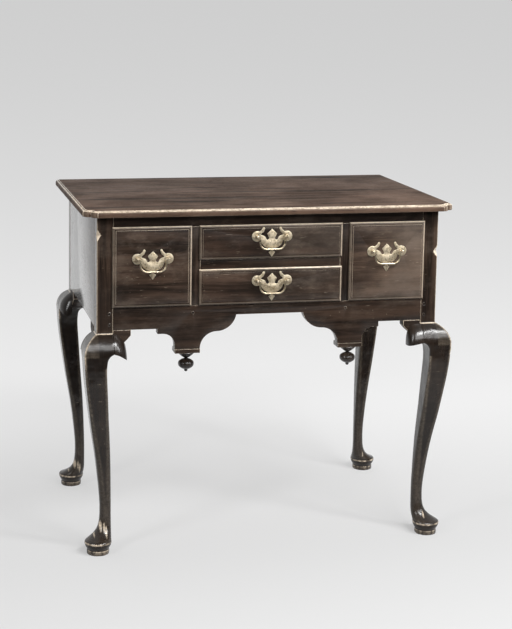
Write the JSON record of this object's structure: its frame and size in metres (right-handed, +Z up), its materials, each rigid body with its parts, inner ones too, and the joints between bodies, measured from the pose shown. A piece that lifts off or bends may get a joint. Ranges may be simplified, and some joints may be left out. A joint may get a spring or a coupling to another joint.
{
  "type": "lowboy",
  "caption": "Low case of drawers on cabriole legs, with lipped drawer fronts, an arched apron with turned pendants, and swinging bail handles.",
  "frame": {"origin": "on the floor under the middle of the table, the centre of the foot of its bounding box", "axes": "+X along the front from left to right as the sitter sees it, +Y from the front to the back, +Z up"},
  "size_m": [0.864, 0.574, 0.796],
  "materials": {
    "case_wood": "dark brown, waxed and worn, semi-gloss",
    "inner_wood": "bare aged softwood, dull",
    "brass": "old cast brass, softly polished"
  },
  "bodies": {
    "case": {"apron": "case_wood", "back_board": "inner_wood", "brackets": "case_wood", "divider_left": "case_wood", "divider_right": "case_wood", "drawer_guides": "inner_wood", "glue_blocks": "inner_wood", "inner_runners": "inner_wood", "kickers": "inner_wood", "knee_block_front_left_front": "case_wood", "knee_block_front_left_side": "case_wood", "knee_block_front_right_front": "case_wood", "knee_block_front_right_side": "case_wood", "knee_block_rear_left_side": "case_wood", "knee_block_rear_right_side": "case_wood", "leg_front_left": "case_wood", "leg_front_right": "case_wood", "leg_rear_left": "case_wood", "leg_rear_right": "case_wood", "middle_rail": "case_wood", "pegs": "case_wood", "pendant_drop_left": "case_wood", "pendant_drop_right": "case_wood", "pendant_plinth_left": "case_wood", "pendant_plinth_right": "case_wood", "side_board_left": "case_wood", "side_board_right": "case_wood", "side_runners": "inner_wood", "top_board": "case_wood", "top_rail": "case_wood", "upper_runners": "inner_wood"},
    "drawer_left": {"drawer_left_front": "case_wood", "drawer_left_sides": "inner_wood", "drawer_left_back": "inner_wood", "drawer_left_bottom": "inner_wood", "handle_left_plate": "brass", "handle_left_posts": "brass"},
    "bail_left": {"handle_left_bail": "brass"},
    "drawer_right": {"drawer_right_front": "case_wood", "drawer_right_sides": "inner_wood", "drawer_right_back": "inner_wood", "drawer_right_bottom": "inner_wood", "handle_right_plate": "brass", "handle_right_posts": "brass"},
    "bail_right": {"handle_right_bail": "brass"},
    "drawer_upper": {"drawer_upper_front": "case_wood", "drawer_upper_sides": "inner_wood", "drawer_upper_back": "inner_wood", "drawer_upper_bottom": "inner_wood", "handle_upper_plate": "brass", "handle_upper_posts": "brass"},
    "bail_upper": {"handle_upper_bail": "brass"},
    "drawer_lower": {"drawer_lower_front": "case_wood", "drawer_lower_sides": "inner_wood", "drawer_lower_back": "inner_wood", "drawer_lower_bottom": "inner_wood", "handle_lower_plate": "brass", "handle_lower_posts": "brass"},
    "bail_lower": {"handle_lower_bail": "brass"}
  },
  "joints": [
    {"name": "drawer_left_slide", "type": "slide", "parent": "case", "child": "drawer_left", "axis": [0, -1, 0], "range_m": [0, 0.32]},
    {"name": "drawer_right_slide", "type": "slide", "parent": "case", "child": "drawer_right", "axis": [0, -1, 0], "range_m": [0, 0.32]},
    {"name": "drawer_upper_slide", "type": "slide", "parent": "case", "child": "drawer_upper", "axis": [0, -1, 0], "range_m": [0, 0.32]},
    {"name": "drawer_lower_slide", "type": "slide", "parent": "case", "child": "drawer_lower", "axis": [0, -1, 0], "range_m": [0, 0.32]},
    {"name": "bail_left_hinge", "type": "hinge", "parent": "drawer_left", "child": "bail_left", "pos_m": [-0.27475, -0.273, 0.6835], "axis": [-1, 0, 0], "range_deg": [-8, 185]},
    {"name": "bail_right_hinge", "type": "hinge", "parent": "drawer_right", "child": "bail_right", "pos_m": [0.27325, -0.273, 0.688], "axis": [-1, 0, 0], "range_deg": [-8, 185]},
    {"name": "bail_upper_hinge", "type": "hinge", "parent": "drawer_upper", "child": "bail_upper", "pos_m": [-0.0005, -0.273, 0.72875], "axis": [-1, 0, 0], "range_deg": [-8, 185]},
    {"name": "bail_lower_hinge", "type": "hinge", "parent": "drawer_lower", "child": "bail_lower", "pos_m": [0.001, -0.273, 0.62675], "axis": [-1, 0, 0], "range_deg": [-8, 185]}
  ]
}
